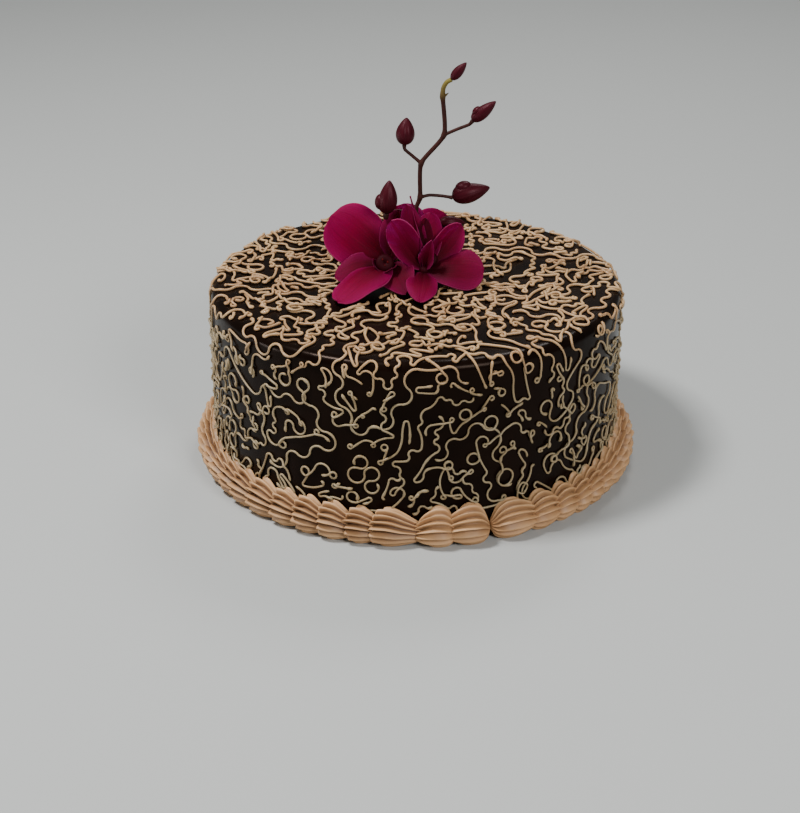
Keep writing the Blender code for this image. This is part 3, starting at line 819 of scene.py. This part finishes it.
shaded = add_node(tree, "ShaderNodeMix", {"A": (0.02, 0.0009, 0.003, 1)}, data_type="RGBA")
link(shade.outputs["Fac"], shaded.inputs["Factor"])
edge_mask = add_node(
    tree,
    "ShaderNodeMapRange",
    {"From Min": 0.485, "From Max": 0.5, "To Max": 0.5},
)
link(off_middle_size.outputs["Value"], edge_mask.inputs["Value"])
edged = add_node(tree, "ShaderNodeMix", {"B": (0.42, 0.05, 0.16, 1)}, data_type="RGBA")
link(edge_mask.outputs["Result"], edged.inputs["Factor"])
link(rimmed.outputs["Result"], edged.inputs["A"])
link(edged.outputs["Result"], shaded.inputs["B"])
warm = add_node(tree, "ShaderNodeAttribute", attribute_name="warm")
warmed = add_node(tree, "ShaderNodeMix", {"B": (0.22, 0.012, 0.006, 1)}, data_type="RGBA")
link(warm.outputs["Fac"], warmed.inputs["Factor"])
link(shaded.outputs["Result"], warmed.inputs["A"])
link(warmed.outputs["Result"], shader.inputs["Base Color"])
relief = add_node(tree, "ShaderNodeBump", {"Strength": 0.5, "Distance": 0.0005})
link(veins.outputs["Fac"], relief.inputs["Height"])
link(relief.outputs["Normal"], shader.inputs["Normal"])

# Flowers: the centre, then each petal's tip, width, facing, widest place, cup, arch,
# fold, brightness, how pointed it is and how dark its middle is. The lip comes last.
# Brightness and dark middle are partly the flower's own darker maroon and partly painted
# shade, for petals and cupped hollows that lie in shade.
FLOWERS = {
    "orchid_left": (
        (-13.5, -3.0, 104.0),
        ((-43.5, 8.0, 125.5), 31.0, (-0.2, -0.9, 0.35), 0.60, -0.12, 0.02, 0.0, 1.0, 0.0, 0.25),
        ((-8.5, 3.0, 130.5), 15.5, (-0.1, -1.0, 0.3), 0.58, -0.15, 0.03, 0.0, 0.55, 0.2, 0.2),
        ((-41.0, -10.0, 99.0), 18.0, (-0.2, -0.6, 0.8), 0.55, 0.12, 0.04, 0.0, 0.6, 0.3, 0.3),
        ((-39.0, -37.5, 97.4), 23.0, (-0.2, -0.25, 0.95), 0.55, -0.25, 0.08, 0.0, 0.95, 0.2, 0.3),
        ((-5.0, -26.0, 96.9), 19.0, (-0.2, -0.5, 0.85), 0.50, 0.1, 0.05, 0.0, 0.55, 0.5, 0.5),
        ((-17.5, -15.5, 103.5), 13.0, (0.0, -0.2, 1.0), 0.55, 0.7, -0.04, 0.0, 0.15, 0.0, 0.5),
    ),
    "orchid_right": (
        (4.0, -10.5, 103.0),
        ((-12.5, -14.0, 131.0), 15.0, (0.2, -0.9, 0.1), 0.56, 0.1, -0.04, 0.0, 0.95, 0.0, 0.1),
        ((1.5, -37.0, 97.0), 16.0, (0.1, -0.5, 0.85), 0.55, -0.15, 0.08, 0.0, 0.78, 0.4, 0.45),
        ((34.5, -9.5, 104.0), 24.0, (0.0, -0.55, 0.8), 0.62, 0.0, 0.08, -0.2, 0.62, 0.0, 0.55),
        ((23.0, 3.0, 123.0), 16.5, (0.5, -0.8, 0.2), 0.58, 0.3, 0.0, 0.0, 0.85, 0.3, 0.95),
        ((-3.0, 0.0, 139.0), 8.0, (0.95, -0.3, 0.1), 0.45, 0.3, 0.02, 0.0, 0.7, 0.6, 0.2),
        ((-5.0, -4.0, 136.0), 12.0, (0.1, -0.95, 0.2), 0.60, 0.1, -0.03, 0.0, 0.6, 0.3, 0.3),
        ((7.5, 1.0, 130.0), 15.0, (0.05, -0.95, 0.25), 0.60, 0.1, -0.03, 0.0, 0.8, 0.2, 0.4),
        ((4.6, -4.5, 129.0), 9.0, (0.0, -0.95, 0.3), 0.55, 0.4, 0.0, 0.0, 0.12, 0.2, 0.5),
        ((8.0, -12.5, 120.0), 8.0, (-0.2, -0.8, 0.4), 0.50, 0.5, 0.0, 0.0, 0.6, 0.5, 0.1),
    ),
    "orchid_back": (
        (2.0, 20.5, 105.5),
        ((-10.0, 17.0, 127.5), 20.0, (-0.1, 0.9, 0.3), 0.60, 0.15, 0.02, 0.0, 0.9, 0.1, 0.3),
        ((15.0, 21.0, 122.5), 20.0, (0.2, 0.9, 0.3), 0.60, 0.15, 0.02, 0.0, 0.9, 0.1, 0.3),
        ((-20.0, 33.0, 99.5), 17.0, (-0.2, 0.4, 0.9), 0.55, 0.1, 0.06, 0.0, 0.9, 0.3, 0.3),
        ((1.0, 44.0, 98.5), 16.0, (0.0, 0.4, 0.9), 0.55, 0.1, 0.06, 0.0, 0.9, 0.3, 0.3),
        ((24.0, 33.0, 99.5), 17.0, (0.2, 0.4, 0.9), 0.55, 0.1, 0.06, 0.0, 0.9, 0.3, 0.3),
        ((3.0, 32.0, 108.0), 12.0, (0.0, 0.2, 1.0), 0.55, 0.7, -0.04, 0.0, 0.4, 0.0, 0.5),
    ),
}
PETAL_THICKNESS = 0.55 * MM


def petal_sheet(base, row, wave):
    """A petal's middle sheet: a fine grid bent to its outline, cup and wavy rim."""
    tip, width, facing, widest, cup, arch, fold, tone_and_shade, pointed, dark = row
    base, tip, facing = Vector(base) * MM, Vector(tip) * MM, Vector(facing)
    length = (tip - base).length
    along = (tip - base).normalized()
    across = along.cross(facing).normalized()
    facing = across.cross(along)
    shape = bmesh.new()
    bmesh.ops.create_grid(shape, x_segments=30, y_segments=22, size=0.5)
    uv = shape.loops.layers.uv.new("petal")
    shape.verts.layers.float.new("warm")
    shade = shape.verts.layers.float.new("shade")
    for face in shape.faces:
        for loop in face.loops:
            loop[uv].uv = (loop.vert.co.x + 0.5, loop.vert.co.y + 0.5)
    for vert in shape.verts:
        t = vert.co.x + 0.5
        v = 2.0 * vert.co.y
        # Partly own darker colour, partly painted shade of petals and hollows in shade.
        vert[shade] = tone_and_shade * (1.0 - dark * math.exp(-((v / 0.45) ** 2)) * max(0.0, 1.0 - t / 0.8))
        u = max(t, 0.0) ** (math.log(0.5) / math.log(widest))
        blade = 0.5 * width * math.sqrt(max(0.0, 1.0 - abs(2 * u - 1) ** 2.3))
        blade *= 1.0 - pointed * max(0.0, (t - widest) / (1.0 - widest)) ** 1.3
        half = max(blade, 1.5 * (1 - t) + 0.4 * t) * MM
        rise = arch * length * math.sin(math.pi * t) + cup * half * v * v
        rise += fold * half * abs(v)
        edge = abs(v) ** 3
        rise += 0.9 * MM * edge * math.sin(wave + 9.0 * t + 2.0 * v) * math.sin(math.pi * t)
        rise += 0.5 * MM * math.sin(wave * 2 + 7.0 * t) * math.sin(2.2 * v) * t
        rise -= 0.5 * MM * math.exp(-((v / 0.07) ** 2)) * (1.0 - 0.6 * t)
        vert.co = base + along * (length * t) + across * (half * v) + facing * rise
    return shape


def tint(shape, verts, place, tone_and_shade, red):
    """Gives corners a place in the petal picture, a redness and a brightness, partly painted shade.
    """
    uv = shape.loops.layers.uv["petal"]
    shade = shape.verts.layers.float["shade"]
    warm = shape.verts.layers.float["warm"]
    for vert in verts:
        vert[shade], vert[warm] = tone_and_shade, red
        for loop in vert.link_loops:
            loop[uv].uv = place


def flower_piece(name, flower, look):
    """The petals, the lip, the throat and the column of one flower as one mesh."""
    centre = Vector(flower[0])
    whole = bmesh.new()
    for i, row in enumerate(flower[1:]):
        base = centre + (Vector(row[0]) - centre).normalized() * 1.2
        sheet = petal_sheet(base, row, 1.7 * i + len(name))
        bmesh.ops.solidify(sheet, geom=sheet.faces, thickness=PETAL_THICKNESS)
        mesh = bpy.data.meshes.new("petal")
        sheet.to_mesh(mesh)
        sheet.free()
        whole.from_mesh(mesh)
        bpy.data.meshes.remove(mesh)
    # The centre ball is dimmed, partly as painted shade where the petals meet.
    ball = bmesh.ops.create_uvsphere(whole, u_segments=16, v_segments=12, radius=2.6 * MM)
    bmesh.ops.translate(whole, verts=ball["verts"], vec=centre * MM)
    tint(whole, ball["verts"], (0.12, 0.5), 0.3, 0.0)
    for place, radius, red in THROATS[name]:
        ball = bmesh.ops.create_uvsphere(whole, u_segments=28, v_segments=20, radius=radius * MM)
        for vert in ball["verts"]:
            inward = max(0.0, vert.co.normalized().dot(THROAT_FACING)) if red < 0.1 else 0.0
            vert.co *= 1.0 - 1.1 * inward**1.5
        bmesh.ops.translate(whole, verts=ball["verts"], vec=Vector(place) * MM)
        # Painted shade with their own dark red: the throat balls are set near-black.
        tint(whole, ball["verts"], (0.1, 0.5), 0.04, red)
    bmesh.ops.recalc_face_normals(whole, faces=whole.faces)
    put_out(name + "_petals", whole, look, "orchid_petal", name)


# Throats: a dark cup and the small red column in it, as place, radius and redness.
# The cup is near-black: its own dark red with painted shade of the hollow.
THROAT_FACING = Vector((0.0, -0.85, 0.53))
THROATS = {
    "orchid_left": (
        ((-15.6, -11.0, 107.2), 4.7, 0.01),
        ((-16.8, -11.3, 109.2), 0.5, 0.3),
        ((-14.2, -11.9, 108.0), 0.6, 0.22),
        ((-15.6, -12.8, 106.5), 0.5, 0.2),
    ),
    "orchid_right": (((7.5, -9.0, 108.5), 3.6, 0.0),),
    "orchid_back": (((2.5, 27.0, 106.5), 4.2, 0.0),),
}

for name, flower in FLOWERS.items():
    flower_piece(name, flower, petal_finish)


# Flower stem
# One dark, woody flower stem is pushed into the cake behind the flowers. It thickens
# where a bud's stalk leaves it, carries a small bract, and is still green at its end.

stem_finish, tree, link, shader = finish(
    "orchid stem",
    {"Roughness": 0.5, "Specular IOR Level": 0.15},
)
where = add_node(tree, "ShaderNodeTexCoord")
split = add_node(tree, "ShaderNodeSeparateXYZ")
link(where.outputs["Object"], split.inputs["Vector"])
green = add_node(tree, "ShaderNodeMapRange", {"From Min": 0.186, "From Max": 0.198})
link(split.outputs["Z"], green.inputs["Value"])
streak = add_node(tree, "ShaderNodeTexNoise", {"Scale": 420.0, "Detail": 3.0})
link(where.outputs["Object"], streak.inputs["Vector"])
bark = add_node(
    tree,
    "ShaderNodeMix",
    {"A": (0.014, 0.0035, 0.003, 1), "B": (0.06, 0.015, 0.011, 1)},
    data_type="RGBA",
)
link(streak.outputs["Fac"], bark.inputs["Factor"])
fresh = add_node(tree, "ShaderNodeMix", {"B": (0.2, 0.16, 0.035, 1)}, data_type="RGBA")
link(green.outputs["Result"], fresh.inputs["Factor"])
link(bark.outputs["Result"], fresh.inputs["A"])
link(fresh.outputs["Result"], shader.inputs["Base Color"])
ridged = add_node(tree, "ShaderNodeBump", {"Strength": 0.4, "Distance": 0.0003})
link(streak.outputs["Fac"], ridged.inputs["Height"])
link(ridged.outputs["Normal"], shader.inputs["Normal"])

# The stem's path from its end in the cake to the top bud, in millimetres.
STEM = (
    (0.0, 6.0, 70.5),
    (0.0, 6.0, 94.0),
    (-0.2, 6.0, 128.0),
    (2.1, 6.0, 136.2),
    (2.6, 6.0, 154.1),
    (13.9, 6.0, 168.9),
    (13.0, 6.0, 188.5),
    (13.4, 6.0, 193.0),
    (15.0, 5.5, 195.9),
    (17.2, 5.0, 197.3),
)
# Each bud: the point of the stem where its stalk begins, the bends of the stalk, the
# bud's base, tip and width, and the way its swollen sepal faces.
BUDS = {
    "bud_top": (None, (), (17.2, 5.0, 197.3), (24.4, 4.0, 206.1), 5.8, None),
    "bud_upper_right": (
        5,
        ((20.7, 4.5, 172.4), (26.2, 3.0, 175.1)),
        (27.8, 2.5, 177.1),
        (39.0, 0.0, 187.8),
        7.4,
        (-1.0, 0.0, 0.5),
    ),
    "bud_upper_left": (
        4,
        ((-2.3, 7.5, 157.9), (-5.6, 8.5, 160.5)),
        (-5.9, 9.0, 162.7),
        (-4.7, 10.0, 176.5),
        11.0,
        None,
    ),
    "bud_right": (
        3,
        ((7.0, 8.0, 136.6), (13.5, 9.0, 135.8)),
        (18.5, 10.0, 134.6),
        (37.6, 12.0, 139.3),
        11.6,
        (-0.3, 0.0, 1.0),
    ),
    "bud_left": (
        2,
        ((-9.0, 7.5, 128.4), (-15.4, 5.5, 128.2), (-15.7, 0.0, 127.4), (-14.7, -2.1, 128.2)),
        (-14.6, -2.0, 130.4),
        (-13.3, -1.0, 147.5),
        11.0,
        (-1.0, 0.0, 0.2),
    ),
    "bud_low": (
        2,
        ((6.0, 9.0, 119.0),),
        (12.0, 12.5, 120.5),
        (25.2, 14.5, 119.6),
        7.6,
        None,
    ),
}

STEM_RADIUS = 1.15
STALK_RADIUS = 0.85
BRACT_RADIUS = 0.6
routes = [(STEM, STEM_RADIUS)]
for leaves, bends, base, _, _, _ in BUDS.values():
    if leaves is not None:
        routes.append(((STEM[leaves], *bends, base), STALK_RADIUS))
for flower in FLOWERS.values():
    centre = Vector(flower[0])
    start = Vector((0.0, 6.0, 0.6 * centre.z + 0.4 * 94.0))
    out = (start - centre).normalized() * 3.2
    routes.append(((tuple(start), tuple(centre + out)), STALK_RADIUS))
routes.append((((13.0, 6.0, 188.3), (14.6, 5.7, 189.4), (15.9, 5.5, 190.4)), BRACT_RADIUS))
stem_curve = round_curve("stem", 4)
for route, radius in routes:
    places = [Vector(place) for place in route]
    fine = []
    for i, (one, two) in enumerate(zip(places, places[1:])):
        before = places[i - 1] if i else one
        after = places[i + 2] if i + 2 < len(places) else two
        enter = 0.32 * (two - before) if i else 0.32 * (two - one)
        leave = 0.32 * (after - one) if i + 2 < len(places) else 0.32 * (two - one)
        steps = max(3, round((two - one).length / 0.9))
        for k in range(steps):
            t = k / steps
            h1 = 2 * t**3 - 3 * t**2 + 1
            h2 = t**3 - 2 * t**2 + t
            h3 = -2 * t**3 + 3 * t**2
            h4 = t**3 - t**2
            fine.append(one * h1 + enter * h2 + two * h3 + leave * h4)
    fine.append(places[-1])
    spline = stem_curve.splines.new("POLY")
    spline.points.add(len(fine) - 1)
    for point, place in zip(spline.points, fine):
        point.co = (*(place * MM), 1.0)
        knot = min((place - Vector(node)).length for node in STEM[2:7])
        swell = 1.0 + 0.3 * math.exp(-((knot / 1.6) ** 2))
        last = (place - places[-1]).length
        if radius == BRACT_RADIUS:
            swell *= min(1.0, 0.25 + 0.4 * last)
        elif radius == STALK_RADIUS:
            swell *= 1.0 + 0.35 * math.exp(-((last / 1.2) ** 2))
        point.radius = radius * swell
put_out("flower_stem", tube_shape(stem_curve), stem_finish, "orchid_stem", "spray_stem")


# Buds
# The six buds are still shut: dark maroon sepals meet along seams and close to a point.
# Some have one sepal that swells out to the side, made as a lobe of its own.

bud_finish, tree, link, shader = finish(
    "orchid bud",
    {"Roughness": 0.4, "Specular IOR Level": 0.16, "Specular Tint": (1.0, 0.55, 0.62, 1)},
)
where = add_node(tree, "ShaderNodeUVMap", uv_map="bud")
split = add_node(tree, "ShaderNodeSeparateXYZ")
link(where.outputs["UV"], split.inputs["Vector"])
stretch = add_node(tree, "ShaderNodeMapping", {"Scale": (30.0, 3.0, 1.0)})
link(where.outputs["UV"], stretch.inputs["Vector"])
veins = add_node(tree, "ShaderNodeTexNoise", {"Scale": 1.0, "Detail": 3.0})
link(stretch.outputs["Vector"], veins.inputs["Vector"])
skin = add_node(
    tree,
    "ShaderNodeMix",
    {"A": (0.022, 0.0014, 0.0035, 1), "B": (0.065, 0.0065, 0.0125, 1)},
    data_type="RGBA",
)
link(veins.outputs["Fac"], skin.inputs["Factor"])
link(skin.outputs["Result"], shader.inputs["Base Color"])
relief = add_node(tree, "ShaderNodeBump", {"Strength": 0.4, "Distance": 0.0004})
link(veins.outputs["Fac"], relief.inputs["Height"])
link(relief.outputs["Normal"], shader.inputs["Normal"])

for name, (_, _, base, tip, width, spur) in BUDS.items():
    base, tip = Vector(base) * MM, Vector(tip) * MM
    along = (tip - base).normalized()
    length = (tip - base).length
    side = along.orthogonal().normalized()
    if spur:
        side = (Vector(spur) - along * Vector(spur).dot(along)).normalized()
    other = along.cross(side)
    shape = bmesh.new()
    bmesh.ops.create_uvsphere(shape, u_segments=48, v_segments=32, radius=1.0)
    uv = shape.loops.layers.uv.new("bud")
    for face in shape.faces:
        for loop in face.loops:
            turn = math.atan2(loop.vert.co.y, loop.vert.co.x) / (2 * math.pi) + 0.5
            loop[uv].uv = (turn, 0.5 * loop.vert.co.z + 0.5)
    for vert in shape.verts:
        t = 0.5 * (vert.co.z + 1.0)
        turn = math.atan2(vert.co.y, vert.co.x)
        ring = math.hypot(vert.co.x, vert.co.y)
        girth = 0.5 * width * MM * ring * (1.0 - 0.22 * t) * (1.0 - 0.45 * t**3)
        if spur:
            girth *= 1.0 + 0.35 * max(0.0, math.cos(turn)) ** 3 * max(0.0, 1.0 - 2.2 * t)
        seam = abs(math.sin(1.5 * turn + 0.6 * t))
        girth *= 1.0 - 0.09 * math.exp(-((seam / 0.16) ** 2)) * math.sin(math.pi * t) ** 0.5
        vert.co = base + along * (length * t)
        vert.co += (side * math.cos(turn) + other * math.sin(turn)) * girth
    if spur:
        lobe = bmesh.ops.create_uvsphere(shape, u_segments=24, v_segments=16, radius=1.0)
        for vert in lobe["verts"]:
            out, up = 0.24 * width * vert.co.x, 0.36 * width * vert.co.z
            across = 0.3 * width * MM * vert.co.y
            vert.co = base + along * (0.34 * length + up * MM) + other * across
            vert.co += side * (0.36 * width + out) * MM
    bmesh.ops.recalc_face_normals(shape, faces=shape.faces)
    put_out(name + "_closed", shape, bud_finish, "orchid_bud", name)
